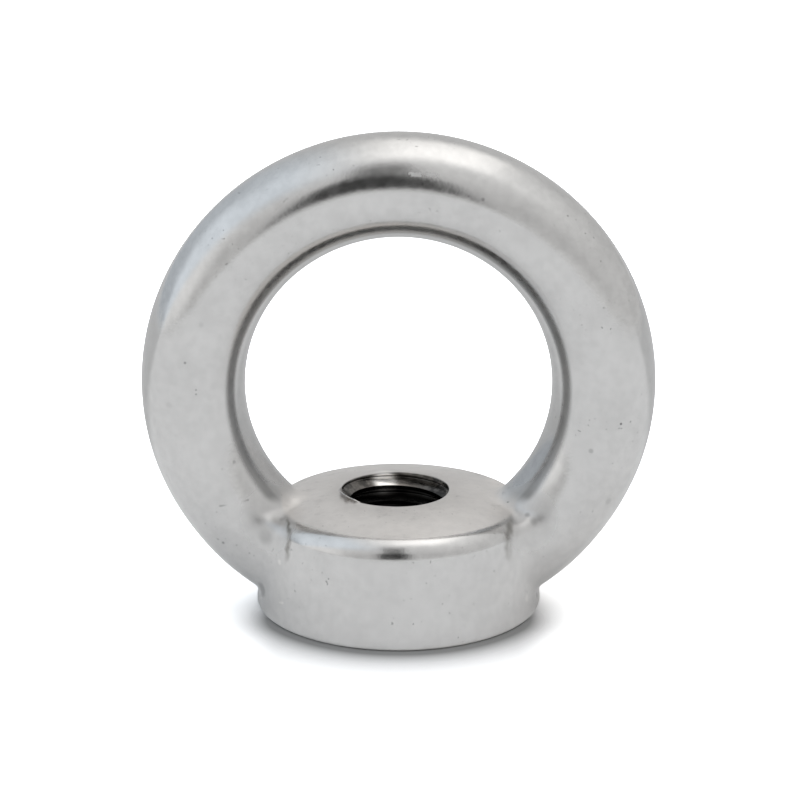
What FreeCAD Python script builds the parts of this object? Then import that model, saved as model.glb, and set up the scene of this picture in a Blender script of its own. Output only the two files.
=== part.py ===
import FreeCAD, Part
import math
import os

import Sketcher

# Lifting eye nut: one solid forging, a round-bar ring on a tapered boss with a crowned top and
# a tapped hole. Millimetres. The origin is the centre of the seating face, +Z runs up the
# thread axis and the ring stands in the XZ plane, so a hook passes through it along Y.

document = FreeCAD.newDocument("EyeNut")

# Driving dimensions, millimetres and degrees

SIZES = [
    ("ring_outer_diameter", 45.0, "over the outside of the ring"),
    ("ring_bar_diameter", 9.07, "round section of the ring"),
    ("keel_height", 1.31, "where the outside of the ring meets the wall, above the seating face"),
    ("boss_base_diameter", 25.4, "wall of the boss carried down to the seating face"),
    ("boss_draft", 7.5, "taper of the wall from the thread axis"),
    ("shoulder_radius", 2.2, "rounding from the wall up to the rim of the crown"),
    ("shoulder_end_angle", 64.0, "slope of the shoulder where it stops at the rim"),
    ("rim_height", 9.24, "crisp rim of the crown above the seating face"),
    ("crown_radius", 41.5, "spherical top of the boss"),
    ("tap_drill_diameter", 8.5, "plain bore that an M10 x 1.5 tap enters"),
    ("countersink_width", 1.25, "lead-in for the thread at the seating face, on the radius"),
    ("countersink_angle", 90.0, "included angle of the lead-in"),
    ("foot_radius", 0.35, "rounding at the foot of the boss"),
    ("rim_blend_radius", 1.6, "hollow blend from the shoulder to the ring, at the rim"),
    ("flank_blend_radius", 1.6, "the same blend at the foot of the shoulder, beside the bar"),
    ("keel_blend_radius", 1.0, "the same blend under the ring, on the parting plane"),
    ("crown_blend_radius", 0.5, "line where the crown meets the ring"),
    ("cutter_overrun", 1.0, "how far a cutter runs past the metal"),
]

sheet = document.addObject("Spreadsheet::Sheet", "Sizes")
for row, (alias, value, meaning) in enumerate(SIZES, start=1):
    sheet.set(f"A{row}", alias)
    sheet.set(f"B{row}", str(value))
    sheet.set(f"C{row}", meaning)
    sheet.setAlias(f"B{row}", alias)
document.recompute()


def size(alias):
    """Current value of a driving dimension."""
    return float(sheet.get(alias))


# Helpers for sketches and features

START, END, CENTRE = range(1, 4)
ORIGIN = (-1, START)
UPRIGHT_AXIS = ORIGIN[0] - 1


def new_body(name, label):
    body = document.addObject("PartDesign::Body", name)
    body.Label = label
    return body


def new_sketch(body, name, role):
    """An empty sketch lying on an origin plane of the body."""
    plane = next(item for item in body.Origin.OriginFeatures if item.Role == role)
    sketch = body.newObject("Sketcher::SketchObject", name)
    sketch.AttachmentSupport = [(plane, "")]
    sketch.MapMode = "FlatFace"
    return sketch


def relate(sketch, kind, *references):
    """A geometric relation between elements of a sketch."""
    sketch.addConstraint(Sketcher.Constraint(kind, *references))


def measure(sketch, name, kind, *references, value, expression=None):
    """A named dimension that follows an expression, or with none only reads what it measures."""
    index = sketch.addConstraint(Sketcher.Constraint(kind, *references, value))
    sketch.renameConstraint(index, name)
    if expression:
        sketch.setExpression(f"Constraints.{name}", expression)
    else:
        sketch.setDriving(index, False)


def point(x, y):
    return FreeCAD.Vector(x, y, 0)


def arc(centre, radius, start_angle, end_angle):
    """An arc turned anticlockwise between two angles in degrees."""
    circle = Part.Circle(centre, FreeCAD.Vector(0, 0, 1), radius)
    return Part.ArcOfCircle(circle, math.radians(start_angle), math.radians(end_angle))


def numbered(feature, wanted):
    """Numbers of the edges of a feature that a test picks."""
    return [number for number, edge in enumerate(feature.Shape.Edges, start=1) if wanted(edge)]


forging = new_body("Forging", "forging")

# Boss: half section on the XZ plane, turned round the thread axis

draft = math.radians(size("boss_draft"))
end_angle = math.radians(size("shoulder_end_angle"))
base_radius = size("boss_base_diameter") / 2
rim_height = size("rim_height")
shoulder_radius = size("shoulder_radius")
shoulder_height = rim_height - shoulder_radius * math.sin(end_angle)
shoulder_centre = base_radius - shoulder_height * math.tan(draft) - shoulder_radius / math.cos(draft)
rim_radius = shoulder_centre + shoulder_radius * math.cos(end_angle)
crown_centre = rim_height - math.sqrt(size("crown_radius") ** 2 - rim_radius ** 2)
crown_top = crown_centre + size("crown_radius")
crown_angle = math.degrees(math.acos(rim_radius / size("crown_radius")))
shoulder_foot = point(
    shoulder_centre + shoulder_radius * math.cos(draft),
    shoulder_height + shoulder_radius * math.sin(draft),
)

profile = new_sketch(forging, "BossProfile", "XZ_Plane")
base = profile.addGeometry(Part.LineSegment(point(0, 0), point(base_radius, 0)))
wall = profile.addGeometry(Part.LineSegment(point(base_radius, 0), shoulder_foot))
shoulder = profile.addGeometry(arc(
    point(shoulder_centre, shoulder_height), shoulder_radius,
    size("boss_draft"), size("shoulder_end_angle"),
))
crown = profile.addGeometry(arc(point(0, crown_centre), size("crown_radius"), crown_angle, 90))
core = profile.addGeometry(Part.LineSegment(point(0, crown_top), point(0, 0)))
rim_normal = profile.addGeometry(Part.LineSegment(
    point(shoulder_centre, shoulder_height), point(rim_radius, rim_height),
), True)

relate(profile, "Coincident", base, START, *ORIGIN)
relate(profile, "Horizontal", base)
relate(profile, "Coincident", base, END, wall, START)
relate(profile, "Tangent", wall, END, shoulder, START)
relate(profile, "Coincident", shoulder, END, crown, START)
relate(profile, "Coincident", crown, END, core, START)
relate(profile, "Coincident", core, END, *ORIGIN)
relate(profile, "Vertical", core)
relate(profile, "PointOnObject", crown, CENTRE, UPRIGHT_AXIS)
relate(profile, "Coincident", rim_normal, START, shoulder, CENTRE)
relate(profile, "Coincident", rim_normal, END, shoulder, END)
measure(profile, "BaseRadius", "DistanceX", base, START, base, END,
        value=base_radius, expression="Sizes.boss_base_diameter / 2")
measure(profile, "WallAngle", "Angle", wall,
        value=math.pi / 2 + draft, expression="(90 + Sizes.boss_draft) * 1 deg")
measure(profile, "ShoulderRadius", "Radius", shoulder,
        value=shoulder_radius, expression="Sizes.shoulder_radius")
measure(profile, "ShoulderEnd", "Angle", rim_normal,
        value=end_angle, expression="Sizes.shoulder_end_angle * 1 deg")
measure(profile, "CrownRadius", "Radius", crown,
        value=size("crown_radius"), expression="Sizes.crown_radius")
measure(profile, "RimHeight", "DistanceY", *ORIGIN, crown, START,
        value=rim_height, expression="Sizes.rim_height")
measure(profile, "CrownTop", "DistanceY", *ORIGIN, crown, END, value=crown_top)

boss = forging.newObject("PartDesign::Revolution", "Boss")
boss.Profile = profile
boss.ReferenceAxis = (profile, ["V_Axis"])
boss.Angle = 360
document.recompute()


def at_foot(edge):
    """The round edge between the wall and the seating face."""
    return edge.BoundBox.ZMax < size("foot_radius") and edge.BoundBox.XMax > rim_radius


foot = forging.newObject("PartDesign::Fillet", "Foot")
foot.Base = (boss, [f"Edge{number}" for number in numbered(boss, at_foot)])
foot.setExpression("Radius", "Sizes.foot_radius")
document.recompute()

# Ring: section of the bar on the YZ plane, drawn as two halves that meet on the parting plane
# and turned round the axis of the eye. Its outside meets the boss wall at the keel height,
# which settles how high the eye stands.

bar_radius = size("ring_bar_diameter") / 2
outer_radius = size("ring_outer_diameter") / 2
keel_wall_radius = base_radius - size("keel_height") * math.tan(draft)
eye_height = size("keel_height") + math.sqrt(outer_radius ** 2 - keel_wall_radius ** 2)
bar_centre = point(0, eye_height + outer_radius - bar_radius)
KEEL_WALL = "(Sizes.boss_base_diameter / 2 - Sizes.keel_height * tan(Sizes.boss_draft * 1 deg))"
EYE_HEIGHT = f"Sizes.keel_height + sqrt((Sizes.ring_outer_diameter / 2) ^ 2 - {KEEL_WALL} ^ 2)"

section = new_sketch(forging, "BarSection", "YZ_Plane")
front = section.addGeometry(arc(bar_centre, bar_radius, 90, 270))
back = section.addGeometry(arc(bar_centre, bar_radius, -90, 90))
eye_axis = section.addGeometry(Part.LineSegment(
    point(-bar_radius, eye_height), point(bar_radius, eye_height),
), True)

relate(section, "PointOnObject", front, CENTRE, UPRIGHT_AXIS)
relate(section, "Coincident", back, CENTRE, front, CENTRE)
relate(section, "Coincident", front, END, back, START)
relate(section, "Coincident", back, END, front, START)
relate(section, "PointOnObject", front, START, UPRIGHT_AXIS)
relate(section, "PointOnObject", front, END, UPRIGHT_AXIS)
relate(section, "Symmetric", eye_axis, START, eye_axis, END, UPRIGHT_AXIS)
measure(section, "BarRadius", "Radius", front,
        value=bar_radius, expression="Sizes.ring_bar_diameter / 2")
measure(section, "AxisLength", "DistanceX", eye_axis, START, eye_axis, END,
        value=2 * bar_radius, expression="Sizes.ring_bar_diameter")
measure(section, "EyeHeight", "DistanceY", *ORIGIN, eye_axis, START,
        value=eye_height, expression=EYE_HEIGHT)
measure(section, "RingRadius", "DistanceY", eye_axis, START, front, CENTRE,
        value=outer_radius - bar_radius,
        expression="(Sizes.ring_outer_diameter - Sizes.ring_bar_diameter) / 2")

ring = forging.newObject("PartDesign::Revolution", "Ring")
ring.Profile = section
ring.ReferenceAxis = (section, ["Axis0"])
ring.Angle = 360
document.recompute()

# Facing cut: what the ring leaves below the seating face is turned off

facing_circle = new_sketch(forging, "FacingCircle", "XY_Plane")
facing_edge = facing_circle.addGeometry(Part.Circle(
    point(0, 0), FreeCAD.Vector(0, 0, 1), outer_radius,
))
relate(facing_circle, "Coincident", facing_edge, CENTRE, *ORIGIN)
measure(facing_circle, "FacingRadius", "Radius", facing_edge,
        value=outer_radius, expression="Sizes.ring_outer_diameter / 2")

facing = forging.newObject("PartDesign::Pocket", "Facing")
facing.Profile = facing_circle
facing.Type = "ThroughAll"
document.recompute()

# Junction: a hollow blend runs round each side of the ring where it grows out of the wall. It
# keeps one radius from the rim down beside the bar, narrows to the keel below, and only a thin
# line of it runs on between the ring and the crown.


def on_ring(face):
    """Whether a face is part of the ring, whose round surface turns about the Y axis."""
    surface = face.Surface
    return surface.TypeId == "Part::GeomToroid" and abs(surface.Axis.y) > abs(surface.Axis.z)


def on_crown(face):
    return face.Surface.TypeId == "Part::GeomSphere"


def neighbours(feature, edge):
    return feature.Shape.ancestorsOfType(edge, Part.Face)


def leaves_ring(edge):
    """An edge where the ring grows out of the wall or the shoulder."""
    faces = neighbours(facing, edge)
    return (sum(on_ring(face) for face in faces) == 1
            and not any(on_crown(face) for face in faces)
            and edge.BoundBox.ZMax > size("keel_height"))


def blend_row(number):
    """Edge number and blend radii at the start and the end of that edge."""
    edge = facing.Shape.Edges[number - 1]
    ends = [edge.valueAt(edge.FirstParameter).z, edge.valueAt(edge.LastParameter).z]
    middle = sum(ends) / len(ends)
    if middle > shoulder_foot.y:
        low, high = "flank_blend_radius", "rim_blend_radius"
    else:
        low, high = "keel_blend_radius", "flank_blend_radius"
    start, end = (low, high) if ends[0] < ends[1] else (high, low)
    return number, size(start), size(end)


wall_blend = document.addObject("Part::Fillet", "WallBlend")
wall_blend.Base = forging
wall_blend.Edges = [blend_row(number) for number in numbered(facing, leaves_ring)]
document.recompute()


def bounds_crown(edge):
    """An edge of the crown at the ring, or at the blend beside it."""
    faces = neighbours(wall_blend, edge)
    others = [face for face in faces if not on_crown(face)]
    return (len(others) == 1 and len(faces) == 2
            and (on_ring(others[0]) or others[0].Surface.TypeId == "Part::GeomBSplineSurface"))


crown_blend_radius = size("crown_blend_radius")
crown_blend = document.addObject("Part::Fillet", "CrownBlend")
crown_blend.Base = wall_blend
crown_blend.Edges = [
    (number, crown_blend_radius, crown_blend_radius)
    for number in numbered(wall_blend, bounds_crown)
]
document.recompute()

# Bore: drilled for the thread from the seating face up through the crown, with its lead-in

nut = new_body("EyeNut", "eye_nut")
nut.BaseFeature = crown_blend
document.recompute()

bore_circle = new_sketch(nut, "BoreCircle", "XY_Plane")
bore_edge = bore_circle.addGeometry(Part.Circle(
    point(0, 0), FreeCAD.Vector(0, 0, 1), size("tap_drill_diameter") / 2,
))
relate(bore_circle, "Coincident", bore_edge, CENTRE, *ORIGIN)
measure(bore_circle, "BoreRadius", "Radius", bore_edge,
        value=size("tap_drill_diameter") / 2, expression="Sizes.tap_drill_diameter / 2")
document.recompute()

bore = nut.newObject("PartDesign::Hole", "Bore")
bore.Profile = bore_circle
bore.Reversed = True
bore.DepthType = "Dimension"
bore.DrillPoint = "Flat"
bore.HoleCutType = "Countersink"
bore.setExpression("Diameter", "Sizes.tap_drill_diameter")
bore.setExpression("HoleCutDiameter", "Sizes.tap_drill_diameter + 2 * Sizes.countersink_width")
bore.setExpression("HoleCutCountersinkAngle", "Sizes.countersink_angle * 1 deg")
bore.setExpression("Depth", "BossProfile.Constraints.CrownTop + Sizes.cutter_overrun * 1 mm")
document.recompute()

# Checks, then the file

for item in document.Objects:
    assert not {"Invalid", "Error"} & set(item.State), f"{item.Label} did not compute"
assert not nut.Shape.isNull() and nut.Shape.isValid(), "the solid is not valid"

os.makedirs("parts", exist_ok=True)
nut.Shape.exportStep(f"parts/{nut.Label}.step")
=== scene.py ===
# %% [markdown]
# # A forged lifting eye nut in polished stainless steel
# The nut is one forging: a ring of round bar that grows out of a tapered boss with a crowned
# top, and a threaded hole up the middle. The solid comes in as a fixed frame, and this script
# models a finer skin for it, cuts the real thread, polishes it and lights it.
#
# Polished steel shows every flaw of a mesh, because it mirrors the room. So the skin is built
# from regular rows of faces that lie exactly on the ring, on the boss and on the hollow between
# them. One quarter is modelled and mirrored twice.

# %% Load the frame
import math

import bmesh
import bpy
import numpy as np
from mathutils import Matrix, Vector


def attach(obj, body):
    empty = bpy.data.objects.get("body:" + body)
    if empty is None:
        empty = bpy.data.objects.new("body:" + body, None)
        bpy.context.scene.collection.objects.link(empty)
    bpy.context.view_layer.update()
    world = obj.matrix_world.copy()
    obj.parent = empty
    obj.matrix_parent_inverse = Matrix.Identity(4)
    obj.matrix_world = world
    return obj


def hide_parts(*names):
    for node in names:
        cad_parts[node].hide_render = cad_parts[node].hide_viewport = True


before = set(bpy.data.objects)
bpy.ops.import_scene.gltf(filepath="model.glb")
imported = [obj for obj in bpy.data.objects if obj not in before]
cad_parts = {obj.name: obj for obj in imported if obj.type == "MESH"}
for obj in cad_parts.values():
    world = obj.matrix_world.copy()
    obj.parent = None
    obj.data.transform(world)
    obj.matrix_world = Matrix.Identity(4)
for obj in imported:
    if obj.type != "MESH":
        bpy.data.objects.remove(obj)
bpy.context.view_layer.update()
MM = 0.001


def in_mm(values, digits=2):
    """Metres as rounded millimetres, for the printed lines."""
    return [round(float(value) / MM, digits) for value in values]


# %% [markdown]
# ## Helpers
# Every operator acts on what is selected, so each step starts from a clean selection. These few
# helpers keep that in one place. Two of them are modelling steps that come back later: a line
# drawn by extruding a single point, and a mesh whose gaps are closed before it is cut.

# %% Helpers for objects and edit mode


def alone(piece):
    """Make one object the only selected one, and the active one."""
    if bpy.context.mode != "OBJECT":
        bpy.ops.object.mode_set(mode="OBJECT")
    bpy.ops.object.select_all(action="DESELECT")
    piece.select_set(True)
    bpy.context.view_layer.objects.active = piece
    return piece


def added(name):
    """Name the object that an operator has just added, and its mesh."""
    piece = bpy.context.object
    piece.name = name
    piece.data.name = name
    return piece


def edit(piece, select="DESELECT"):
    """Go into edit mode with nothing or everything selected, and give the mesh to work on."""
    alone(piece)
    bpy.ops.object.mode_set(mode="EDIT")
    bpy.ops.mesh.select_all(action=select)
    return bmesh.from_edit_mesh(piece.data)


def done():
    """Leave edit mode."""
    bpy.ops.object.mode_set(mode="OBJECT")


def settled(piece):
    """Put an object's place into its mesh, so the object sits at the origin."""
    alone(piece)
    bpy.ops.object.transform_apply(location=True, rotation=True, scale=True)
    return piece


def apply_all(piece):
    """Apply every modifier of an object, from the top down."""
    alone(piece)
    for modifier in list(piece.modifiers):
        bpy.ops.object.modifier_apply(modifier=modifier.name)
    return piece


def drawn_line(name, path):
    """Draw a line by extruding one point along a path. It stays in edit mode, all selected."""
    bpy.ops.object.select_all(action="DESELECT")
    bpy.ops.mesh.primitive_plane_add(size=MM)
    piece = added(name)
    mesh = edit(piece)
    for vertex in list(mesh.verts):
        vertex.select = vertex.index > 0
    bpy.ops.mesh.delete(type="VERT")
    mesh = bmesh.from_edit_mesh(piece.data)
    mesh.verts.ensure_lookup_table()
    mesh.verts[0].co = path[0]
    mesh.verts[0].select = True
    bmesh.update_edit_mesh(piece.data)
    for here, there in zip(path, path[1:]):
        bpy.ops.mesh.extrude_region_move(TRANSFORM_OT_translate={"value": there - here})
    bpy.ops.mesh.select_all(action="SELECT")
    return piece


def close_gaps(piece):
    """Fill every open loop of edges with a face, and turn all faces outward."""
    mesh = edit(piece)
    mesh.select_mode = {"EDGE"}
    for edge in mesh.edges:
        edge.select = edge.is_boundary
    gaps = sum(edge.select for edge in mesh.edges)
    bpy.ops.mesh.edge_face_add()
    bpy.ops.mesh.select_all(action="SELECT")
    bpy.ops.mesh.normals_make_consistent(inside=False)
    mesh = bmesh.from_edit_mesh(piece.data)
    open_edges = sum(not edge.is_manifold for edge in mesh.edges)
    print(piece.name, "had", gaps, "edges at gaps, open edges left:", open_edges,
          "volume, mm3:", round(mesh.calc_volume() / MM**3, 1))
    done()


def smoothstep(low, high, value):
    """0 below low, 1 above high, and a soft slope between."""
    share = min(1.0, max(0.0, (value - low) / (high - low)))
    return share * share * (3 - 2 * share)


# %% [markdown]
# ## Camera
# A long lens looks slightly down on the nut from the front, a quarter of a metre away. The small
# shift frames the nut as the picture does, with the ring a little above the middle.

# %% Camera
EYE_HEIGHT = 20.0 * MM
CAMERA_DISTANCE = 247.5 * MM
CAMERA_ELEVATION = math.radians(17.4)
LENS = 127.15
SHIFT = (0.0018, -0.0197)

camera_data = bpy.data.cameras.new("camera")
camera_data.lens = LENS
camera_data.shift_x, camera_data.shift_y = SHIFT
camera_data.clip_start = 10 * MM
camera = bpy.data.objects.new("camera", camera_data)
bpy.context.scene.collection.objects.link(camera)
camera.location = (
    0,
    -CAMERA_DISTANCE * math.cos(CAMERA_ELEVATION),
    EYE_HEIGHT + CAMERA_DISTANCE * math.sin(CAMERA_ELEVATION),
)
camera.rotation_euler = (math.pi / 2 - CAMERA_ELEVATION, 0, 0)
bpy.context.scene.camera = camera
bpy.context.scene.view_settings.view_transform = "Standard"
print("camera at, mm:", in_mm(camera.location, 1))

# %% [markdown]
# ## The boss, as half a section
# The boss could be a cylinder with bevelled edges, but its real section is finer: a short foot
# rounding, a wall that tapers by 7.5 degrees so the forging leaves its die, a round shoulder, a
# crisp rim, and a top that is part of a large sphere. So it is drawn as a line of points, which
# is later spun round the thread's axis.

# %% Section of the boss
BASE_RADIUS = 12.7 * MM
WALL_SLOPE = math.radians(7.5)
FOOT_RADIUS = 0.35 * MM
SHOULDER_RADIUS = 2.2 * MM
SHOULDER_END = math.radians(64.0)
RIM_RADIUS = 10.489 * MM
RIM_HEIGHT = 9.24 * MM
RIM_ROUNDING = 0.3 * MM
CROWN_RADIUS = 41.5 * MM
SECTION_STEP = 0.01 * MM


def turned(centre, radius, angle):
    """A point of a circle in the section, where x runs out from the axis and y runs up."""
    return centre + radius * Vector((math.cos(angle), math.sin(angle)))


def arc(centre, radius, start, end):
    """Points of an arc in the section, without its last point."""
    count = max(4, round(radius * (end - start) / SECTION_STEP))
    return [turned(centre, radius, start + (end - start) * i / count) for i in range(count)]


def edge_angle(clear):
    """Angle on the shoulder where the rim's rounding starts, found by halving."""
    low, high = WALL_SLOPE, SHOULDER_END
    for _ in range(40):
        middle = (low + high) / 2
        reach = (turned(shoulder_centre, SHOULDER_RADIUS - clear, middle) - crown_centre).length
        low, high = (middle, high) if reach < CROWN_RADIUS - clear else (low, middle)
    return middle


crown_centre = Vector((0, RIM_HEIGHT - math.sqrt(CROWN_RADIUS**2 - RIM_RADIUS**2)))
shoulder_centre = turned(Vector((RIM_RADIUS, RIM_HEIGHT)), -SHOULDER_RADIUS, SHOULDER_END)
rim_start = edge_angle(RIM_ROUNDING)
rim_centre = turned(shoulder_centre, SHOULDER_RADIUS - RIM_ROUNDING, rim_start)
rim_end = math.atan2(rim_centre.y - crown_centre.y, rim_centre.x)
foot_centre = Vector((
    BASE_RADIUS - FOOT_RADIUS * (1 / math.cos(WALL_SLOPE) + math.tan(WALL_SLOPE)), FOOT_RADIUS,
))
wall_foot = turned(foot_centre, FOOT_RADIUS, WALL_SLOPE)
wall_top = turned(shoulder_centre, SHOULDER_RADIUS, WALL_SLOPE)
wall_steps = round((wall_top - wall_foot).length / SECTION_STEP)

section = np.array(
    arc(foot_centre, FOOT_RADIUS, -math.pi / 2, WALL_SLOPE)
    + [wall_foot.lerp(wall_top, i / wall_steps) for i in range(wall_steps)]
    + arc(shoulder_centre, SHOULDER_RADIUS, WALL_SLOPE, rim_start)
    + arc(rim_centre, RIM_ROUNDING, rim_start, rim_end)
    + arc(crown_centre, CROWN_RADIUS, rim_end, math.pi / 2)
)
ways = np.append(0, np.cumsum(np.hypot(*np.diff(section, axis=0).T)))
foot_way = FOOT_RADIUS * (math.pi / 2 + WALL_SLOPE)


def section_at(way):
    """Radius and height of the section's point at a length along the section."""
    return np.interp(way, ways, section[:, 0]), np.interp(way, ways, section[:, 1])


print("top of the crown and of the wall, mm:", in_mm((section[-1][1], wall_top.y), 3))
print("section:", len(section), "points over, mm:", in_mm((ways[-1],)))

# %% [markdown]
# ## Where ring and boss meet
# Ring and boss don't meet in a sharp line: the die left a hollow there. A bevel on the line
# where two meshes meet would tear, because the hollow changes its size all the way round. Think
# of a small ball rolling in the corner and touching both. Where it touches the ring, the ring's
# skin ends, and where it touches the boss, the boss's skin ends. The ball is small at the rim
# and large beside the bar, so the hollow is narrow above and wide on the wall.
#
# Going round the bar, 0 degrees faces the middle of the eye, 90 the camera, and 180 outward.

# %% The ball's size, and where it rests
BAR_RADIUS = 4.535 * MM
BAR_CENTRES = 17.965 * MM
ROWS = 60
BALL_ROUND_BAR = (0, 30, 44, 50, 58, 66, 75, 85, 95, 105, 115, 130, 150, 165, 174, 180)
BALL_RADIUS = (2.0, 1.25, 0.85, 1.0, 1.65, 2.5, 3.3, 3.9, 4.1, 3.9, 3.4, 2.1, 0.95, 0.62, 0.56, 0.54)
SMOOTHINGS = 3
ROLL_START, ROLL_STEP = math.radians(-20), math.radians(0.5)
NEARLY = 0.02 * MM


def round_bar(turn, around, away):
    """A point beside the ring: turn goes round the eye, around goes round the bar."""
    out = BAR_CENTRES - (BAR_RADIUS + away) * math.cos(around)
    return Vector((
        out * math.cos(turn),
        -(BAR_RADIUS + away) * math.sin(around),
        EYE_HEIGHT + out * math.sin(turn),
    ))


def nearest_on_boss(point):
    """Distance to the boss, and the length along its section to the nearest point."""
    here = np.array((math.hypot(point.x, point.y), point.z))
    number = int(np.hypot(*(section - here).T).argmin())
    before, after = max(0, number - 1), min(len(section) - 1, number + 1)
    side = section[after] - section[before]
    share = float(np.dot(here - section[before], side) / np.dot(side, side))
    way = ways[before] + share * (ways[after] - ways[before])
    return math.hypot(*(here - section_at(way))), way


def roll(around, ball):
    """Turn round the eye at which a ball beside the ring just touches the boss."""
    clear = touching = ROLL_START
    while nearest_on_boss(round_bar(touching, around, ball))[0] > ball + NEARLY:
        clear, touching = touching, touching - ROLL_STEP
    for _ in range(30):
        middle = (clear + touching) / 2
        if nearest_on_boss(round_bar(middle, around, ball))[0] > ball:
            clear = middle
        else:
            touching = middle
    return touching


def on_boss_at(way, compass):
    """A point of the boss's skin: a point of the section turned to a compass angle."""
    out, up = section_at(way)
    return Vector((out * math.cos(compass), out * math.sin(compass), up))


# %% Roll the ball along the corner
arounds = [math.pi * k / ROWS for k in range(ROWS + 1)]
balls = np.interp(np.degrees(arounds), BALL_ROUND_BAR, BALL_RADIUS) * MM
for _ in range(SMOOTHINGS):
    balls = np.concatenate((balls[1:2], balls, balls[-2:-1]))
    balls = balls[1:-1] / 2 + (balls[:-2] + balls[2:]) / 4
balls = balls.tolist()
turns = [roll(around, ball) for around, ball in zip(arounds, balls)]
ball_centres = [round_bar(t, a, b) for t, a, b in zip(turns, arounds, balls)]
on_ring = [round_bar(t, a, 0) for t, a in zip(turns, arounds)]
boss_ways = [nearest_on_boss(centre)[1] for centre in ball_centres]
compasses = [math.atan2(centre.y, centre.x) for centre in ball_centres]
on_boss = [on_boss_at(way, compass) for way, compass in zip(boss_ways, compasses)]
print("ball touches the crown at, mm:", in_mm(on_boss[0]))
print("ball touches the wall below at, mm:", in_mm(on_boss[-1]))

# %% [markdown]
# ## The ring
# A torus primitive would do for a free ring, but this one has to end along the curved line
# where the ball touches it. So half the round section of the bar is spun round the eye, from
# the top down to the boss, and then every row is stretched or shortened along its own circle
# until it ends on that line. The rows stay perfectly round.

# %% Spin a quarter of the ring
RING_STEPS = 110
SWEEP = math.radians(135)

bpy.ops.object.select_all(action="DESELECT")
bpy.ops.mesh.primitive_circle_add(
    vertices=2 * ROWS, radius=BAR_RADIUS, rotation=(0, math.pi / 2, 0),
    location=(0, 0, EYE_HEIGHT + BAR_CENTRES),
)
ring = settled(added("ring"))
mesh = edit(ring)
for vertex in mesh.verts:
    vertex.select = vertex.co.y > 0.001 * MM
mesh.select_flush(True)
bpy.ops.mesh.delete(type="VERT")
bpy.ops.mesh.select_all(action="SELECT")
bpy.ops.mesh.spin(steps=RING_STEPS, angle=SWEEP, center=(0, 0, EYE_HEIGHT), axis=(0, -1, 0))
mesh = bmesh.from_edit_mesh(ring.data)
print("ring quarter:", len(mesh.verts), "points,", len(mesh.faces), "faces")

# %% End every row where the ball touches


def place_on_ring(point):
    """How far a point has turned from the top of the ring, and its row round the bar."""
    turn = math.atan2(point.z - EYE_HEIGHT, point.x)
    out = math.hypot(point.x, point.z - EYE_HEIGHT)
    around = math.atan2(abs(point.y), BAR_CENTRES - out)
    return math.pi / 2 - turn, round(around / math.pi * ROWS)


mesh.select_mode = {"VERT"}
for vertex in mesh.verts:
    turned_by, row = place_on_ring(vertex.co)
    share = turned_by / SWEEP
    turn = math.pi / 2 - share * (math.pi / 2 - turns[row])
    vertex.co = round_bar(turn, arounds[row], 0)
    vertex.select = share > 1 - 0.5 / RING_STEPS
mesh.select_flush_mode()
bmesh.update_edit_mesh(ring.data)
print("points on the end line:", sum(vertex.select for vertex in mesh.verts))

# %% [markdown]
# ## The hollow between ring and boss
# The end of the ring is extruded in small steps, and each new line of points is laid on the
# ball, a little further round it every time. The last line lands where the ball touches the
# boss. Extruding keeps the rows in line with the ring's, so the light runs through smoothly.
# Beside the crown the real hollow is flatter than a ball would leave it, and meets the boss in
# a crease, so its last lines are lifted a little off the ball.

# %% Extrude the hollow
HOLLOW_STEPS = 8
FLATNESS = 0.3
SMALLEST_ANGLE = math.radians(0.5)


def on_ball(row, share):
    """A point on the ball's skin between ring and boss, lifted a little near the crown."""
    start = on_ring[row] - ball_centres[row]
    end = on_boss[row] - ball_centres[row]
    angle = max(start.angle(end), SMALLEST_ANGLE)
    skin = start * math.sin((1 - share) * angle) + end * math.sin(share * angle)
    skin /= math.sin(angle)
    around = math.degrees(arounds[row])
    flat = FLATNESS * smoothstep(38, 54, around) * (1 - smoothstep(88, 118, around))
    return ball_centres[row] + skin.lerp(start.lerp(end, share), flat * share**2)


lines = [
    [on_ball(row, step / HOLLOW_STEPS) for row in range(ROWS + 1)]
    for step in range(HOLLOW_STEPS + 1)
]
for step in range(1, HOLLOW_STEPS + 1):
    bpy.ops.mesh.extrude_region_move()
    mesh = bmesh.from_edit_mesh(ring.data)
    before = np.array([tuple(point) for point in lines[step - 1]])
    for vertex in [v for v in mesh.verts if v.select]:
        row = int(np.hypot.reduce(before - np.array(vertex.co), axis=1).argmin())
        vertex.co = lines[step][row]
    bmesh.update_edit_mesh(ring.data)
done()
print("with the hollow:", len(ring.data.vertices), "points,", len(ring.data.polygons), "faces")

# %% [markdown]
# ## The boss
# The half section is drawn by extruding one point along it, and spun through a quarter turn.
# Each row then ends at the hollow, just as the ring's rows do, so the two skins share their
# points there. Below the ring and inside it the rows run on to the side of the nut.

# %% Draw and spin the boss
COLUMNS = 44
INNER_RADIUS = 3.0 * MM
FOOT_ROWS, LOW_ROWS, CROWN_ROWS, SEAT_ROWS = 6, 4, 16, 8

inner_way = float(np.interp(-INNER_RADIUS, -section[:, 0], ways))
foot_rows = np.linspace(0, foot_way, FOOT_ROWS + 1)
low_rows = np.linspace(foot_way, boss_ways[-1], LOW_ROWS + 1)[1:-1]
crown_rows = np.linspace(boss_ways[0], inner_way, CROWN_ROWS + 1)[1:]
row_ways = [*foot_rows, *low_rows, *reversed(boss_ways), *crown_rows]
ends = [0.0] * (FOOT_ROWS + LOW_ROWS) + list(reversed(compasses)) + [0.0] * CROWN_ROWS
row_table = np.array([section_at(way) for way in row_ways])
seat_radii = np.linspace(INNER_RADIUS, section[0][0], SEAT_ROWS + 1)[:-1]
path = [Vector((0, -r, 0)) for r in seat_radii] + [Vector((0, -out, up)) for out, up in row_table]

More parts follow.
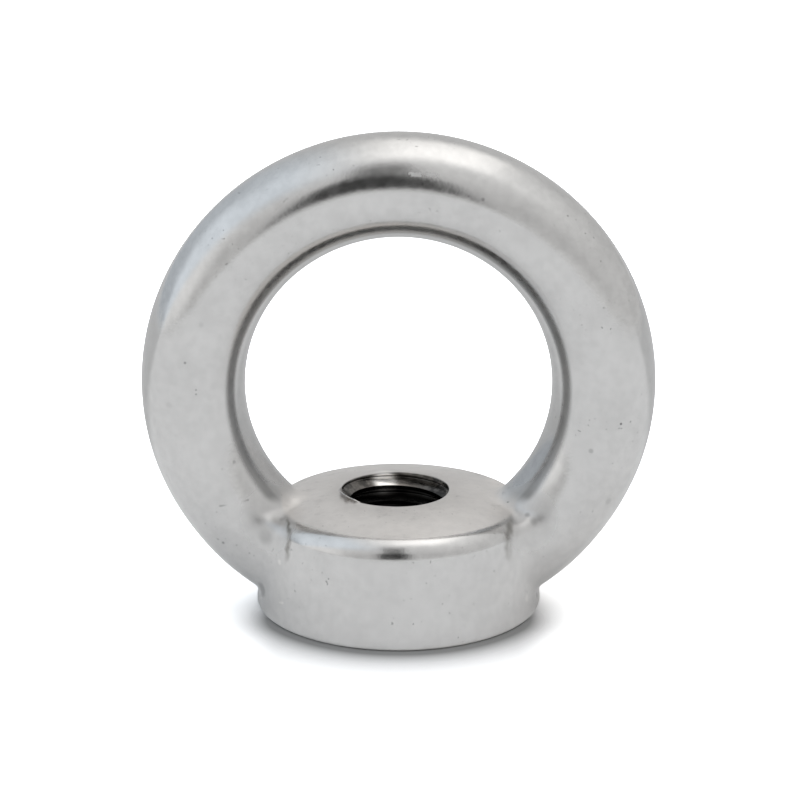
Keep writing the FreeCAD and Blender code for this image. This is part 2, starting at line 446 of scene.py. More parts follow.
boss = drawn_line("boss", path)
bpy.ops.mesh.spin(steps=COLUMNS, angle=math.pi / 2, center=(0, 0, 0), axis=(0, 0, -1))
mesh = bmesh.from_edit_mesh(boss.data)
print("boss quarter:", len(path), "rows,", len(mesh.verts), "points")

# %% End every row at the hollow
SAME_ROW = 0.0005 * MM

moved = 0
for vertex in mesh.verts:
    out = math.hypot(vertex.co.x, vertex.co.y)
    gaps = np.hypot(*(row_table - np.array((out, vertex.co.z))).T)
    row = int(gaps.argmin())
    if gaps[row] < SAME_ROW:
        share = 1 + math.atan2(vertex.co.y, vertex.co.x) / (math.pi / 2)
        compass = -math.pi / 2 + share * (math.pi / 2 + ends[row])
        vertex.co = on_boss_at(row_ways[row], compass)
        moved += 1
bmesh.update_edit_mesh(boss.data)
done()
print("points laid on the boss's rows:", moved)

# %% [markdown]
# ## The whole forging
# The quarter is mirrored to the other side and to the back. The two small round gaps on the
# axis are closed with flat faces, which the thread will remove again, because a Boolean needs
# a closed solid.

# %% Join, mirror and close
WELD = 0.0004 * MM

alone(ring)
boss.select_set(True)
bpy.ops.object.join()
edit(ring, "SELECT")
bpy.ops.mesh.remove_doubles(threshold=WELD)
done()
nut = ring
nut.name = nut.data.name = "polished_nut"
mirror = nut.modifiers.new("quarters", "MIRROR")
mirror.use_axis = (True, True, False)
mirror.merge_threshold = WELD
apply_all(nut)
close_gaps(nut)

# %% [markdown]
# ## The tilt of the top
# On the real nut the crown was turned after forging and isn't quite square: its front rim
# stands a quarter of a millimetre higher than its back. The skin near the crown is sheared by
# that much, fading out down the wall and up the bar, so every row stays smooth.

# %% Tip the top a little
TOP_LIFT, TOP_TILT = 0.032 * MM, 0.0208
TILT_FROM, TILT_FULL = 4.0 * MM, 7.0 * MM
TILT_STILL, TILT_GONE = 10.8 * MM, 14.0 * MM

mesh = edit(nut)
for vertex in mesh.verts:
    here = vertex.co
    share = smoothstep(TILT_FROM, TILT_FULL, here.z) * (1 - smoothstep(TILT_STILL, TILT_GONE, here.z))
    here.z += share * (TOP_LIFT - TOP_TILT * here.y)
bmesh.update_edit_mesh(nut.data)
done()
print("front rim raised, mm:", in_mm((TOP_LIFT + TOP_TILT * RIM_RADIUS,), 3))

# %% [markdown]
# ## The thread
# An M10 thread climbs 1.5 mm a turn, so it can't be a stack of rings: it is one groove that
# winds up the hole, right-handed. The tool that makes it is modelled, just as a tap makes it in
# the real nut. One pitch of the tap's outline is drawn by extruding a point, and the Screw
# modifier winds it upward. Its turns share their points, so the closed tap can be cut out of
# the forging.

# %% Wind a tap
PITCH = 1.5 * MM
CREST, ROOT = 4.25 * MM, 5.03 * MM
CREST_FLAT, ROOT_FLAT = 0.36 * MM, 0.12 * MM
ROOT_ROUND, ROOT_SHARE = 0.05 * MM, 0.07
TAP_STEPS, TAP_TURNS = 96, 10

flank = (PITCH - CREST_FLAT - ROOT_FLAT) / 2
outline = [
    Vector((CREST, 0, 0)),
    Vector((CREST, 0, CREST_FLAT)),
    Vector((ROOT - ROOT_ROUND, 0, CREST_FLAT + flank * (1 - ROOT_SHARE))),
    Vector((ROOT, 0, CREST_FLAT + flank + ROOT_FLAT / 2)),
    Vector((ROOT - ROOT_ROUND, 0, CREST_FLAT + flank * (1 + ROOT_SHARE) + ROOT_FLAT)),
    Vector((CREST, 0, PITCH)),
]
tap = drawn_line("tap", outline)
done()
winding = tap.modifiers.new("winding", "SCREW")
winding.screw_offset = PITCH
winding.iterations = TAP_TURNS
winding.steps = TAP_STEPS
winding.use_merge_vertices = True
winding.merge_threshold = WELD
apply_all(tap)
edit(tap, "SELECT")
bpy.ops.mesh.remove_doubles(threshold=WELD)
close_gaps(tap)
heights = [vertex.co.z for vertex in tap.data.vertices]
print("tap:", len(heights), "points, z from and to, mm:", in_mm((min(heights), max(heights))))

# %% Turn the tap into place and cut
THREAD_PHASE = math.radians(147.6)


def cut_from_nut(tool):
    """Cut a closed mesh out of the nut, and remove the tool."""
    cut = nut.modifiers.new(tool.name, "BOOLEAN")
    cut.operation = "DIFFERENCE"
    cut.solver = "EXACT"
    cut.object = tool
    apply_all(nut)
    print("after", tool.name, "the nut has", len(nut.data.polygons), "faces")
    bpy.data.objects.remove(tool)


tap.location = (0, 0, -2 * PITCH)
tap.rotation_euler = (0, 0, THREAD_PHASE)
cut_from_nut(settled(tap))

# %% [markdown]
# ## The mouth and the lead-in
# The mouth was deburred by hand, a little off centre, so it is wider on the left, where the
# thin end of the thread broke away. At the seating face a wide cone leads the bolt in. A bevel
# would follow the jagged end of the thread, so both are cones cut out of the forging. Cutting
# leaves a few faces without any area, which are dissolved.

# %% Cut the mouth and the lead-in
LEAD_IN = 1.25 * MM
MOUTH_LOW, MOUTH_HIGH = 9.95 * MM, 11.35 * MM
MOUTH_RADII = (4.68 * MM, 5.06 * MM)
MOUTH_CENTRE = (-0.31 * MM, -0.17 * MM)


def cut_cone(name, low, high, radii, centre):
    """Cut a cone out of the nut, between two heights and with two radii."""
    bpy.ops.object.select_all(action="DESELECT")
    bpy.ops.mesh.primitive_cone_add(
        vertices=128, radius1=radii[0], radius2=radii[1], depth=high - low,
        location=(*centre, (low + high) / 2),
    )
    cut_from_nut(settled(added(name)))


cut_cone("lead_in", -LEAD_IN, LEAD_IN, (CREST + 2 * LEAD_IN, CREST), (0, 0))
cut_cone("mouth", MOUTH_LOW, MOUTH_HIGH, MOUTH_RADII, MOUTH_CENTRE)
edit(nut, "SELECT")
bpy.ops.mesh.dissolve_degenerate(threshold=WELD)
done()
print("without empty faces:", len(nut.data.polygons), "faces")

# %% [markdown]
# ## The burr
# On the left the thin end of the thread wasn't broken off cleanly. It was pushed over the edge
# and stands up there as a burr. Sculpting would be quicker by eye, but this can be repeated: a
# circle the size of the mouth is cut back to an arc and extruded up and out, with a ragged
# height that dies away at both ends.

# %% Leave the burr
BURR_START, BURR_END = math.radians(182), math.radians(228)
BURR_RADIUS, BURR_BASE, BURR_ROOT = 5.02 * MM, 10.33 * MM, 0.12 * MM
BURR_HEIGHT, BURR_LEAN, BURR_THICKNESS = 0.34 * MM, 0.42 * MM, 0.08 * MM


def compass_of(point):
    """Angle of a point round the thread's axis, from 0 to a full turn."""
    return math.atan2(point.y, point.x) % (2 * math.pi)


bpy.ops.object.select_all(action="DESELECT")
bpy.ops.mesh.primitive_circle_add(vertices=180, radius=BURR_RADIUS, location=(0, 0, BURR_BASE))
burr = settled(added("burr"))
mesh = edit(burr)
for vertex in mesh.verts:
    vertex.select = not BURR_START <= compass_of(vertex.co) <= BURR_END
mesh.select_flush(True)
bpy.ops.mesh.delete(type="VERT")
bpy.ops.mesh.select_all(action="SELECT")
bpy.ops.mesh.extrude_region_move()
mesh = bmesh.from_edit_mesh(burr.data)
for vertex in mesh.verts:
    compass = compass_of(vertex.co)
    share = (compass - BURR_START) / (BURR_END - BURR_START)
    swell = math.sin(math.pi * min(1, max(0, share))) ** 0.7
    ragged = swell * (1 + 0.25 * math.sin(23 * share) + 0.15 * math.sin(57 * share + 1))
    if vertex.select:
        vertex.co += Vector((math.cos(compass), math.sin(compass), 0)) * BURR_LEAN * ragged
        vertex.co.z += BURR_HEIGHT * ragged + 0.02 * MM
    else:
        vertex.co.z -= BURR_ROOT
bmesh.update_edit_mesh(burr.data)
done()
print("burr's line: top at, mm:", in_mm((max(v.co.z for v in burr.data.vertices),)))

# %% Give the burr its thickness and join it on
thickness = burr.modifiers.new("thickness", "SOLIDIFY")
thickness.thickness = BURR_THICKNESS
thickness.offset = 0
apply_all(burr)
edit(burr, "SELECT")
bpy.ops.mesh.normals_make_consistent(inside=False)
done()
alone(nut)
burr.select_set(True)
bpy.ops.object.join()
print("with the burr:", len(nut.data.polygons), "faces")

# %% [markdown]
# ## A small kit for shader nodes
# The world, the floor and the steel are all made of nodes. Clicking them together by hand
# would be hard to read back, so a short name stands for each kind of node, and a formula reads
# like a line of arithmetic.

# %% Nodes with short names


class Nodes:
    """Makes nodes in one tree and links them as it goes."""

    def __init__(self, tree):
        self.tree = tree
        tree.nodes.clear()

    def node(self, kind, settings=None, **inputs):
        """Any shader node, with its settings and its inputs."""
        made = self.tree.nodes.new("ShaderNode" + kind)
        for name, value in (settings or {}).items():
            setattr(made, name, value)
        for name, value in inputs.items():
            self.feed(made.inputs[name.replace("_", " ")], value)
        return made

    def feed(self, socket, value):
        """Link a socket to another one, or set its value."""
        if isinstance(value, bpy.types.NodeSocket):
            self.tree.links.new(value, socket)
        else:
            socket.default_value = value

    def maths(self, operation, *values, clamp=False):
        """One step of arithmetic."""
        made = self.node("Math", {"operation": operation, "use_clamp": clamp})
        for socket, value in zip(made.inputs, values):
            self.feed(socket, value)
        return made.outputs[0]

    def times(self, first, *others):
        """The product of all values."""
        for other in others:
            first = self.maths("MULTIPLY", first, other)
        return first

    def plus(self, first, *others):
        """The sum of all values."""
        for other in others:
            first = self.maths("ADD", first, other)
        return first

    def minus(self, first, second):
        """One value less another."""
        return self.maths("SUBTRACT", first, second)

    def rest(self, share):
        """What is left of 1."""
        return self.maths("SUBTRACT", 1.0, share)

    def most(self, first, *others):
        """The largest of all values."""
        for other in others:
            first = self.maths("MAXIMUM", first, other)
        return first

    def size(self, value):
        """A value without its sign."""
        return self.maths("ABSOLUTE", value)

    def length(self, one, two):
        """The long side of a right-angled triangle."""
        return self.maths("SQRT", self.plus(self.times(one, one), self.times(two, two)))

    def fade(self, value, low, high, start=0.0, end=1.0):
        """A soft step of a value, from start at low to end at high."""
        made = self.node("MapRange", {"interpolation_type": "SMOOTHSTEP"}, Value=value)
        limits = {"From Min": low, "From Max": high, "To Min": start, "To Max": end}
        for name, number in limits.items():
            self.feed(made.inputs[name], number)
        return made.outputs[0]

    def mix(self, share, first, second, blend="MIX"):
        """A share of a second colour in a first one."""
        made = self.node("Mix", {"data_type": "RGBA", "blend_type": blend})
        for number, value in ((0, share), (6, first), (7, second)):
            self.feed(made.inputs[number], value)
        return made.outputs[2]

    def grey(self, value):
        """A value as a grey."""
        return self.node("CombineXYZ", X=value, Y=value, Z=value).outputs[0]

    def distance(self, place, point):
        """Distance between two places."""
        made = self.node("VectorMath", {"operation": "DISTANCE"})
        self.feed(made.inputs[0], place)
        self.feed(made.inputs[1], point)
        return made.outputs["Value"]

    def ramp(self, value, stops):
        """A straight-lined ramp from pairs of a place between 0 and 1 and a colour."""
        made = self.node("ValToRGB")
        made.color_ramp.interpolation = "LINEAR"
        elements = made.color_ramp.elements
        elements[0].position, elements[0].color = stops[0][0], (*stops[0][1], 1)
        elements[1].position, elements[1].color = stops[-1][0], (*stops[-1][1], 1)
        for place, colour in stops[1:-1]:
            elements.new(place).color = (*colour, 1)
        self.feed(made.inputs[0], value)
        return made.outputs[0]


def named_grey(level):
    """A grey as a colour."""
    return (level, level, level, 1)


print("kit of", len([name for name in vars(Nodes) if not name.startswith("_")]), "short names")

# %% [markdown]
# ## Light
# The nut stood in a white light tent with an opening for the camera. Polished steel has no
# look of its own and shows that tent. Lamps and panels round the nut could make it, but their
# hard edges would show in every curve. So the tent is painted into the world as a few soft
# profiles: a white floor below, a dark opening in front, a bright roof, and a greyer back.
# The angle that counts runs from the front horizon (0) over the top (90) to the back (180).
# The camera itself sees plain white behind the nut.

# %% The walls of the tent and the opening
LOWEST, HIGHEST = -30, 180
WALLS = (
    (-30, 0.87), (-6, 0.85), (5, 0.63), (18, 0.63), (35, 0.73), (50, 0.80), (65, 0.93),
    (85, 0.94), (100, 0.87), (120, 0.74), (140, 0.66), (180, 0.58),
)
OPENING = (
    (-30, 0.87), (-5, 0.84), (1, 0.66), (8, 0.05), (28, 0.04), (32, 0.14), (40, 0.24),
    (48, 0.24), (55, 0.42), (62, 0.72), (70, 0.93), (85, 0.94), (100, 0.87), (120, 0.74),
    (140, 0.66), (180, 0.58),
)
OPENING_MIDDLE, OPENING_WIDE, OPENING_NARROW = -0.07, 0.18, 0.11
FLOOR_TILT = 8
STRENGTH = 2.0


def stops(profile):
    """A profile of angles and greys as stops of a ramp. The tent's strength is divided out."""
    return [
        ((angle - LOWEST) / (HIGHEST - LOWEST), [grey / STRENGTH] * 3) for angle, grey in profile
    ]


def placed(angle):
    """An angle in degrees as a place on a ramp, from 0 to 1."""
    return kit.maths("DIVIDE", kit.minus(angle, LOWEST), HIGHEST - LOWEST, clamp=True)


world = bpy.data.worlds.new("tent")
bpy.context.scene.world = world
world.use_nodes = True
kit = Nodes(world.node_tree)
axes = kit.node("SeparateXYZ", Vector=kit.node("TexCoord").outputs["Generated"])
aside = axes.outputs["X"]
front = kit.times(axes.outputs["Y"], -1.0)
over = kit.maths("DEGREES", kit.maths("ARCTAN2", axes.outputs["Z"], front))
walls = kit.ramp(placed(kit.minus(over, kit.times(aside, FLOOR_TILT))), stops(WALLS))
opening = kit.ramp(placed(over), stops(OPENING))
half = kit.fade(over, 24, 38, OPENING_WIDE, OPENING_NARROW)
off = kit.maths("DIVIDE", kit.size(kit.minus(aside, OPENING_MIDDLE)), half)
tent = kit.mix(kit.fade(off, 1.6, 0.9), walls, opening)
print("walls and opening:", len(world.node_tree.nodes), "nodes")

# %% [markdown]
# Two broad panels stand left and right of the nut, the left one brighter, and a lamp hangs
# over it, a little to the right. High up on the left the light is slightly cooler, and that
# gives the left shoulder of the ring its bluish sheen.

# %% Side panels, lamp and cool light
LEFT_PANEL, RIGHT_PANEL, RIGHT_SHARE = 0.97, 0.69, 0.85
LAMP = 0.66
LAMP_COLOUR = (1.0, 0.98, 0.95)
COOL = (0.93, 1.0, 1.075, 1)

left = kit.times(kit.fade(aside, -0.62, -0.88), kit.fade(over, -4, 12), kit.fade(over, 150, 95))
tent = kit.mix(left, tent, named_grey(LEFT_PANEL / STRENGTH))
right = kit.times(kit.fade(aside, 0.6, 0.95), kit.fade(over, -10, 5), RIGHT_SHARE)
tent = kit.mix(right, tent, named_grey(RIGHT_PANEL / STRENGTH))
lamp = kit.times(kit.fade(aside, -0.38, 0.2), kit.fade(aside, 0.62, 0.34))
lamp = kit.times(lamp, kit.fade(over, 61, 84), kit.fade(over, 142, 115), LAMP / STRENGTH)
lamp = kit.node("CombineXYZ", **{axis: kit.times(lamp, c) for axis, c in zip("XYZ", LAMP_COLOUR)})
tent = kit.mix(1.0, tent, lamp.outputs[0], "ADD")
cool = kit.times(kit.fade(aside, -0.1, -0.6), kit.fade(over, 30, 60))
tent = kit.mix(cool, tent, COOL, "MULTIPLY")
print("with panels and lamp:", len(world.node_tree.nodes), "nodes")

# %% The metal sees the tent, the camera sees white
shown = kit.node("MixShader")
kit.feed(shown.inputs[0], kit.node("LightPath").outputs["Is Camera Ray"])
kit.feed(shown.inputs[1], kit.node("Background", Color=tent, Strength=STRENGTH).outputs[0])
kit.feed(shown.inputs[2], kit.node("Background", Color=(1, 1, 1, 1), Strength=1.0).outputs[0])
kit.node("OutputWorld", Surface=shown.outputs[0])
print("world:", len(world.node_tree.nodes), "nodes")

# %% [markdown]
# ## The floor
# The nut stands on white paper that ends in plain white, with a soft shadow under its foot. A
# plain white plane would come out grey in this tent. So the camera sees the paper brighter than
# it is, brighter still to the sides and further out, which washes it out to white. Near the foot
# a shadow is painted into the paper's colour, deeper than the one the tent's soft light casts.
# What the metal mirrors is plain paper, painted greyer towards the back as shade.

# %% White paper with a painted shadow of the foot
SHADOW_EDGE, SHADOW_REACH, SHADOW_DEPTH = 12.73 * MM, 2.87 * MM, 0.82
GAIN_MIDDLE, GAIN_SIDES, GAIN_FAR = 1.71, 2.32, 0.56
PAPER_NEAR, SHADED_FAR_PAPER = named_grey(0.97), named_grey(0.72)

bpy.ops.object.select_all(action="DESELECT")
bpy.ops.mesh.primitive_plane_add(size=3)
floor = added("floor")
paper = bpy.data.materials.new("white_paper")
paper.use_nodes = True
floor.data.materials.append(paper)
kit = Nodes(paper.node_tree)
flat = kit.node("SeparateXYZ", Vector=kit.node("TexCoord").outputs["Object"])
aside, ahead = flat.outputs["X"], flat.outputs["Y"]
span = kit.length(aside, ahead)
gap = kit.most(kit.minus(span, SHADOW_EDGE), 0.0)
sides = kit.most(kit.fade(ahead, 2.2 * MM, -8.0 * MM), kit.fade(ahead, 5.0 * MM, 9.0 * MM))
# Painted shadow of the foot: darkest at the foot's edge, fading over a few mm in front and behind.
painted_foot_shadow = kit.times(kit.maths("EXPONENT", kit.maths("DIVIDE", gap, -SHADOW_REACH)), sides)
shade = kit.rest(kit.maths("MINIMUM", painted_foot_shadow, SHADOW_DEPTH))
# The paper is painted brighter to the sides and further out, which shapes the painted shadow.
gain = kit.fade(kit.size(aside), 9.93 * MM, 14.36 * MM, GAIN_MIDDLE, GAIN_SIDES)
gain = kit.plus(gain, kit.fade(span, 17.5 * MM, 28.1 * MM, 0.0, GAIN_FAR))
seen = kit.mix(1.0, kit.grey(gain), kit.grey(shade), "MULTIPLY")
# Painted shade: the paper that the metal mirrors turns greyer towards the back.
mirrored = kit.mix(kit.fade(ahead, 12 * MM, 36 * MM), PAPER_NEAR, SHADED_FAR_PAPER)
white = kit.mix(kit.node("LightPath").outputs["Is Camera Ray"], mirrored, seen)
kit.node("OutputMaterial", Surface=kit.node("BsdfDiffuse", Color=white).outputs[0])
print("floor:", len(paper.node_tree.nodes), "nodes")

# %% [markdown]
# ## Steel
# The nut is stainless steel, ground and then polished on a wheel, so it mirrors the tent with
# a slight blur. An image texture would need the nut unwrapped, and it would show its pixels in
# close-up. All patterns here are worked out from the place on the nut instead, in its own
# coordinates, and every mark keeps its place when the nut is turned. First come the places
# that the patterns need: the depth below the crown, the hole and the crown.

# %% Places on the nut
HOLE_EDGE = 5.2 * MM

steel = bpy.data.materials.new("polished_stainless")
steel.use_nodes = True
nut.data.materials.clear()
nut.data.materials.append(steel)
kit = Nodes(steel.node_tree)
where = kit.node("TexCoord").outputs["Object"]
axes = kit.node("SeparateXYZ", Vector=where)
x, y, z = (axes.outputs[name] for name in "XYZ")
aside, apart = kit.size(x), kit.size(y)
span = kit.length(x, y)
drop = kit.maths("DIVIDE", kit.times(span, span), 2 * CROWN_RADIUS)
tip = kit.minus(TOP_LIFT + crown_centre.y + CROWN_RADIUS, kit.times(y, TOP_TILT))
depth = kit.minus(kit.minus(tip, drop), z)
in_hole = kit.fade(span, HOLE_EDGE + 0.05 * MM, HOLE_EDGE - 0.05 * MM)
in_hole = kit.times(in_hole, kit.fade(depth, 0.02 * MM, 0.1 * MM))
on_crown = kit.times(kit.fade(depth, 0.14 * MM, 0.06 * MM), kit.fade(depth, -2.4 * MM, -0.2 * MM))
on_crown = kit.times(on_crown, kit.fade(span, 10.9 * MM, 10.4 * MM))
print("places:", len(steel.node_tree.nodes), "nodes")

# %% [markdown]
# ### Patterns
# No two patches of the real metal are alike. Three small patterns are enough to build that:
# noise of a chosen size for what is spread everywhere, and a soft spot and a soft line for what
# sits in one place. Each gives a share between 0 and 1, so they can be multiplied like masks.

# %% Patterns that the steel is made of


def noise(size, detail=2.0, rough=0.5):
    """Noise with features of about this size."""
    made = kit.node("TexNoise", Vector=where, Scale=1 / size, Detail=detail, Roughness=rough)
    return made.outputs["Fac"]


def close_to(point, radius):
    """1 near a point of the nut, in mm, and 0 beyond the radius."""
    return kit.fade(kit.distance(where, Vector(point) * MM), radius * MM, radius * 0.35 * MM)


def close_to_line(start, end, radius):
    """1 near a straight line between two points of the nut, in mm, and 0 beyond the radius."""
    start, end = Vector(start) * MM, Vector(end) * MM
    along = kit.node("VectorMath", {"operation": "SUBTRACT"})
    kit.feed(along.inputs[0], where)
    kit.feed(along.inputs[1], start)
    share = kit.node("VectorMath", {"operation": "DOT_PRODUCT"})
    kit.feed(share.inputs[0], along.outputs[0])
    kit.feed(share.inputs[1], (end - start) / (end - start).length_squared)
    share = kit.maths("ADD", share.outputs["Value"], 0.0, clamp=True)
    foot = kit.node("VectorMath", {"operation": "SCALE"})
    kit.feed(foot.inputs[0], end - start)
    kit.feed(foot.inputs["Scale"], share)
    off = kit.distance(along.outputs[0], foot.outputs[0])
    return kit.fade(off, radius * MM, radius * 0.3 * MM)


print("patterns:", ", ".join(pattern.__name__ for pattern in (noise, close_to, close_to_line)))

# %% [markdown]
# ### Marks of use, painted shade and painted highlights
# The nut has small pits and nicks on the ring, and a scratch. The dark patches in the corners
# between ring and boss are painted shade, and a few bright spots, a bright line near the foot and
# a glint in the thread are painted highlights. They could be random, but they belong to this one
# nut, so each is put where it is, in mm, with its radius and its depth.

# %% Nicks, pits, a scratch, painted shade and painted highlights
MARKS_AND_SHADE = (
    ((-18.31, -4.49, 23.32), 0.17, 0.40), ((-17.42, -4.50, 20.89), 0.13, 0.35),
    ((-17.42, -4.50, 20.50), 0.13, 0.35), ((-16.86, -4.53, 26.72), 0.30, 0.10),
    ((-15.40, -3.82, 6.60), 0.20, 0.45), ((-19.80, -4.14, 19.42), 0.40, 0.10),
    ((19.21, -4.32, 17.76), 0.15, 0.70), ((16.66, -4.49, 15.35), 0.30, 0.25),
    ((7.11, -4.40, 37.68), 0.22, 0.30), ((-14.31, -3.79, 14.10), 0.22, 0.25),
    # The wide dark marks at about 10 to 12 mm aside and below 10 mm high sit in the corners between
    # ring and boss: painted shade there, not pits.
    ((18.35, -3.60, 10.40), 0.45, 0.14), ((-10.60, -4.40, 8.20), 1.20, 0.26),
    ((-10.20, -4.40, 8.80), 0.50, 0.25), ((-11.40, -4.60, 7.60), 1.10, 0.20),
    ((11.30, -3.90, 9.15), 0.42, 0.35), ((11.75, -4.20, 8.65), 0.60, 0.40),
    ((-12.10, -3.40, 2.05), 1.00, 0.38), ((12.28, -2.53, 1.20), 0.40, 0.45),
)
SCRATCH, SCRATCH_DEPTH = ((-15.55, -4.52, 10.30), (-13.13, -4.12, 10.72), 0.14), 0.32
# Painted highlights: a bright line near the foot, two bright spots and a glint in the thread.
HIGHLIGHT_LINE = ((-12.23, -2.85, 1.10), (-10.06, -7.24, 2.32), 0.17)
HIGHLIGHT_SPOTS, HIGHLIGHT_SHARE = (((11.27, -5.27, 2.00), 0.50), ((-10.32, -6.03, 5.67), 0.35)), 0.35
THREAD_GLINT = ((-1.25, 4.55, 9.50), 1.5)

marks_and_shade = kit.times(close_to_line(*SCRATCH), SCRATCH_DEPTH)
for point, radius, dark in MARKS_AND_SHADE:
    marks_and_shade = kit.most(marks_and_shade, kit.times(close_to(point, radius), dark))
painted_highlights = kit.most(close_to_line(*HIGHLIGHT_LINE), *(close_to(*spot) for spot in HIGHLIGHT_SPOTS))
painted_highlights = kit.most(kit.times(painted_highlights, HIGHLIGHT_SHARE), close_to(*THREAD_GLINT))
print("marks:", len(MARKS_AND_SHADE) + 1, "dark,", len(HIGHLIGHT_SPOTS) + 2, "bright")

# %% [markdown]
# ### Mottle and specks
# Polished by hand, the metal is a little uneven everywhere: broad blotches, a finer mottle and
# rare dark specks. The crown was only turned, so it is warmer, duller and faintly stained.

# %% Colour of the metal
METAL, CROWN_METAL = (0.648, 0.642, 0.633, 1), (0.76, 0.738, 0.715, 1)
SHADE, MOTTLE_SHADE, BLOTCH_SHADE = 0.94, 0.07, 0.05
SPECK_DEPTH, STAIN_DEPTH = 0.4, 0.16

blotches = kit.fade(noise(4.0 * MM), 0.35, 0.65)
mottle = kit.fade(noise(0.8 * MM, 3.0), 0.3, 0.7)
specks = kit.times(
    kit.fade(noise(0.35 * MM, 1.0), 0.70, 0.78), kit.fade(noise(5.0 * MM), 0.46, 0.60),
)
stains = kit.times(kit.fade(noise(1.6 * MM, 4.0, 0.65), 0.52, 0.72), on_crown)
shade = kit.plus(SHADE, kit.times(mottle, MOTTLE_SHADE), kit.times(blotches, BLOTCH_SHADE))
shade = kit.times(shade, kit.rest(kit.times(specks, SPECK_DEPTH)))
# The marks darken the colour: real pits, nicks and a scratch, and painted shade in the corners.
shade = kit.times(shade, kit.rest(kit.times(stains, STAIN_DEPTH)), kit.rest(marks_and_shade))
print("shade:", len(steel.node_tree.nodes), "nodes")

# %% [markdown]
# ### The rough, shaded line inside the ring
# Where the inside of the eye meets the outside of the ring, a line runs round the eye that is
# rougher and painted darker, as shade for the shadow under the ring that the steel mirrors there.
# Near the boss the strip inside it is rougher and painted darker too.
# The angle round the bar gives the line's place: 41 degrees from the middle of the eye.

# %% Rough line and strip, with painted shade
LINE_AROUND, LINE_SOFT, LINE_CORE = 41.0, 11.0, 2.0

out = kit.length(x, kit.minus(z, EYE_HEIGHT))
around = kit.maths("DEGREES", kit.maths("ARCTAN2", apart, kit.minus(BAR_CENTRES, out)))
line = kit.fade(kit.size(kit.minus(around, LINE_AROUND)), LINE_SOFT, LINE_CORE)
line = kit.times(line, kit.fade(aside, 5.0 * MM, 14.0 * MM, 0.25, 0.5))
dull_and_shaded_strip = kit.times(kit.fade(around, 42.0, 34.0), kit.fade(z, 20.0 * MM, 12.0 * MM, 0.04, 0.22))
dull_and_shade = kit.times(kit.most(line, dull_and_shaded_strip), kit.fade(z, 9.9 * MM, 10.8 * MM))
colour = kit.mix(on_crown, METAL, CROWN_METAL)
# The line and the strip darken the colour here as painted shade.
colour = kit.mix(1.0, colour, kit.grey(kit.times(shade, kit.rest(dull_and_shade))), "MULTIPLY")
print("with the dull line:", len(steel.node_tree.nodes), "nodes")

# %% [markdown]
# ### The hole
# Less light gets into the hole, so its metal is painted darker as shade, darker still down the
# thread. The mouth's cone is painted darker in patches, as tarnish and shade, except where it
# catches the lamp at the back.

# %% Painted shade in the hole
SHADED_MOUTH_METAL, SHADED_THREAD_METAL = (0.27, 0.25, 0.23, 1), (0.06, 0.058, 0.056, 1)
TARNISH_AND_SHADE = (0.035, 0.035, 0.033, 1)
GLINT_SIDE = 0.5 * MM

# Painted shade: the hole's colour is darker with depth down the thread.
hole = kit.mix(kit.fade(depth, 1.15 * MM, 1.6 * MM), SHADED_MOUTH_METAL, SHADED_THREAD_METAL)
tarnish_and_shade_share = kit.fade(kit.size(kit.plus(x, GLINT_SIDE)), 0.6 * MM, 2.0 * MM)
patches = kit.fade(noise(0.7 * MM, 3.0, 0.65), 0.38, 0.60, 0.85, 0.40)
# Painted shade and tarnish in patches, away from where the lamp's glint falls.
hole = kit.mix(kit.times(tarnish_and_shade_share, patches), hole, TARNISH_AND_SHADE)
colour = kit.mix(in_hole, colour, hole)
print("with the hole:", len(steel.node_tree.nodes), "nodes")

# %% [markdown]
# ### The crease, with painted shade
# Where the wall, the crown and the hollow meet, the surface breaks in a fine crease. Its dark line
# is too thin to model, so it is painted shade: a brownish line that runs down the wall from each
# end of the crown, wavers a little and fades. On the right it is broader and paler.

# %% Painted shade in the crease
CREASE_SIDE, CREASE_WAVE, CREASE_WIDTH = 9.50 * MM, 0.9 * MM, 0.26 * MM
CREASE_MIDDLE, CREASE_BEND = 7.7 * MM, 85.0
CREASE_SHADE_COLOUR = (0.20, 0.19, 0.17, 1)


def on_side(left_value, right_value):
    """One value on the left of the nut and another on the right."""
    return kit.fade(x, -1 * MM, 1 * MM, left_value, right_value)


wave = kit.times(kit.minus(noise(1.6 * MM, 2.0), 0.5), CREASE_WAVE)
bend = kit.times(kit.maths("POWER", kit.minus(z, CREASE_MIDDLE), 2.0), CREASE_BEND)
off = kit.size(kit.minus(aside, kit.plus(CREASE_SIDE, wave, bend)))
crease_shade = kit.fade(kit.times(off, on_side(1.0, 0.5)), CREASE_WIDTH, 0.0)
crease_shade = kit.times(crease_shade, on_side(1.0, 0.75))
crease_shade = kit.times(crease_shade, kit.fade(z, 5.4 * MM, 7.6 * MM), kit.fade(z, 9.3 * MM, 9.0 * MM))
crease_shade = kit.times(crease_shade, kit.fade(apart, 4.0 * MM, 5.0 * MM))
crease_shade = kit.times(crease_shade, kit.fade(noise(1.2 * MM), 0.3, 0.6, 0.35, 0.85))
# Painted shade: the crease's line darkens the colour towards brown.
colour = kit.mix(crease_shade, colour, CREASE_SHADE_COLOUR)
# Painted highlights: the colour there is mixed towards near white.
colour = kit.mix(painted_highlights, colour, (0.95, 0.93, 0.90, 1))
print("with the crease:", len(steel.node_tree.nodes), "nodes")

# %% [markdown]
# ### How sharply it mirrors
# Roughness tells the polished parts from the rest. The crown and the dull line blur the tent
# more, the corners beside the crown were hard to reach, and on top of the ring a scuff breaks
# up the dark reflection. All four corners are the same, so the place is taken without its signs.

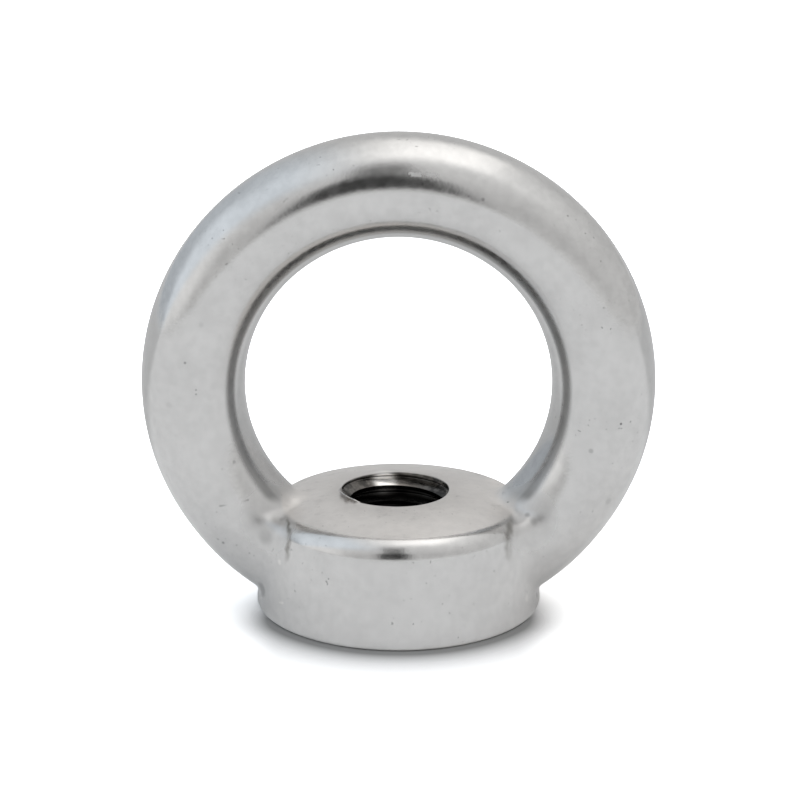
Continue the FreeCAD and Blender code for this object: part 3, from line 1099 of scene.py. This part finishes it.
# %% Roughness
POLISH, CROWN_ROUGH, HOLE_ROUGH, MOTTLE_ROUGH = 0.135, 0.185, 0.05, 0.05
DULL_ROUGH, SCUFF_ROUGH, CORNER_ROUGH = 0.3, 0.45, 0.26
SCUFF = ((1.0, -4.13, 39.80), (3.2, -4.13, 39.72), 0.26)
CORNER = Vector((10.9, 4.2, 9.0)) * MM

scuffed = kit.times(close_to_line(*SCUFF), kit.fade(noise(0.25 * MM, 1.0), 0.40, 0.55))
same_corner = kit.node("CombineXYZ", X=aside, Y=apart, Z=z).outputs[0]
to_corner = kit.distance(same_corner, CORNER)
rough = kit.plus(
    POLISH, kit.times(on_crown, CROWN_ROUGH), kit.times(in_hole, HOLE_ROUGH),
    kit.times(mottle, MOTTLE_ROUGH), kit.times(dull_and_shade, DULL_ROUGH), kit.times(scuffed, SCUFF_ROUGH),
    kit.fade(to_corner, 3.8 * MM, 2.0 * MM, 0.0, CORNER_ROUGH),
)
print("with roughness:", len(steel.node_tree.nodes), "nodes")

# %% [markdown]
# ### Waves and grain
# A forging is never quite even under its polish, so broad waves of a few hundredths of a
# millimetre bend what it mirrors, and the wheel's grain softens the edges. Both are bump,
# because they are far too shallow to show in the outline.

# %% Bump, and the finished steel
WAVE_SIZE, WAVE_HEIGHT = 6.0 * MM, 0.05 * MM
GRAIN_SIZE, GRAIN_HEIGHT = 0.3 * MM, 0.0055 * MM

waves = kit.node("Bump", Strength=1.0, Distance=WAVE_HEIGHT, Height=noise(WAVE_SIZE, 1.0))
grain = kit.node(
    "Bump", Strength=1.0, Distance=GRAIN_HEIGHT, Height=noise(GRAIN_SIZE, 4.0, 0.7),
    Normal=waves.outputs[0],
)
metal = kit.node(
    "BsdfPrincipled", Base_Color=colour, Metallic=1.0, Roughness=rough, Normal=grain.outputs[0],
)
kit.node("OutputMaterial", Surface=metal.outputs[0])
alone(nut)
bpy.ops.object.shade_smooth_by_angle(angle=math.radians(30))
print("steel on", len(nut.data.polygons), "faces,", len(steel.node_tree.nodes), "nodes")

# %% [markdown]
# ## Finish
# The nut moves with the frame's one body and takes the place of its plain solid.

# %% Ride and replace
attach(nut, "root")
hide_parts("eye_nut")
